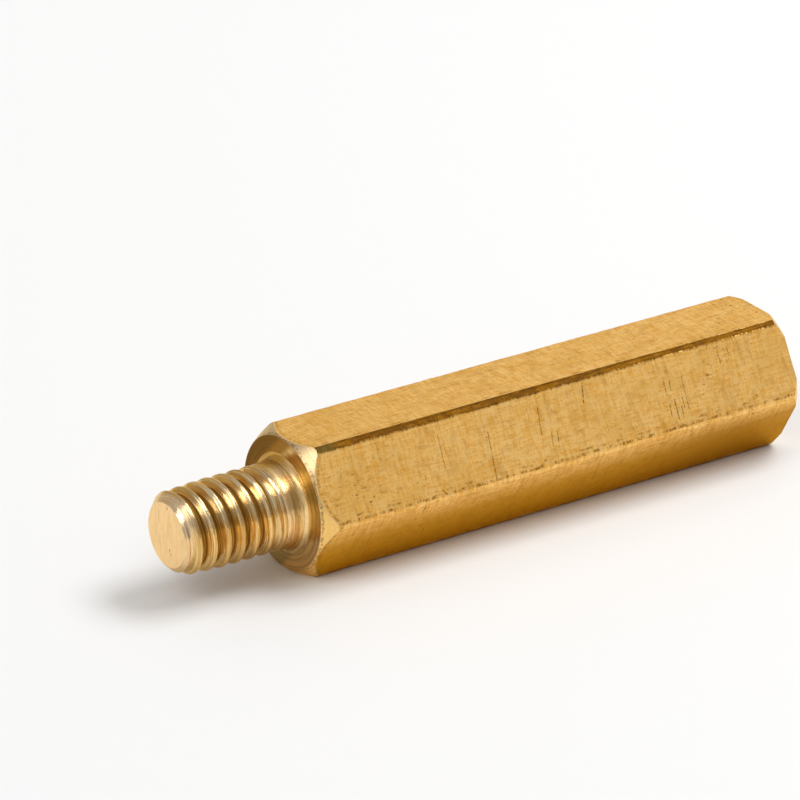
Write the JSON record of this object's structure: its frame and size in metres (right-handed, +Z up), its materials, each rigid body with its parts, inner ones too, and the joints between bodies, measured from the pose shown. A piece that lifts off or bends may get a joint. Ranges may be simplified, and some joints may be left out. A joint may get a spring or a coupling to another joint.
{
  "type": "hex standoff",
  "caption": "Male-female brass hex standoff: hexagonal bar with an M4 threaded stud at one end and an M4 tapped hole at the other, to hold a board or panel at a fixed height.",
  "frame": {"origin": "centre of the flat shoulder face around the stud, on the bar's axis", "axes": "+X along the bar towards the tapped end, so the stud points along -X; +Z up, square to the flat that the bar lies on; +Y to the side, through a long edge"},
  "size_m": [0.0308, 0.0068, 0.006],
  "materials": {
    "brass": "satin drawn flats, bright turned ends and thread"
  },
  "bodies": {
    "root": {"standoff": "brass"}
  },
  "joints": []
}
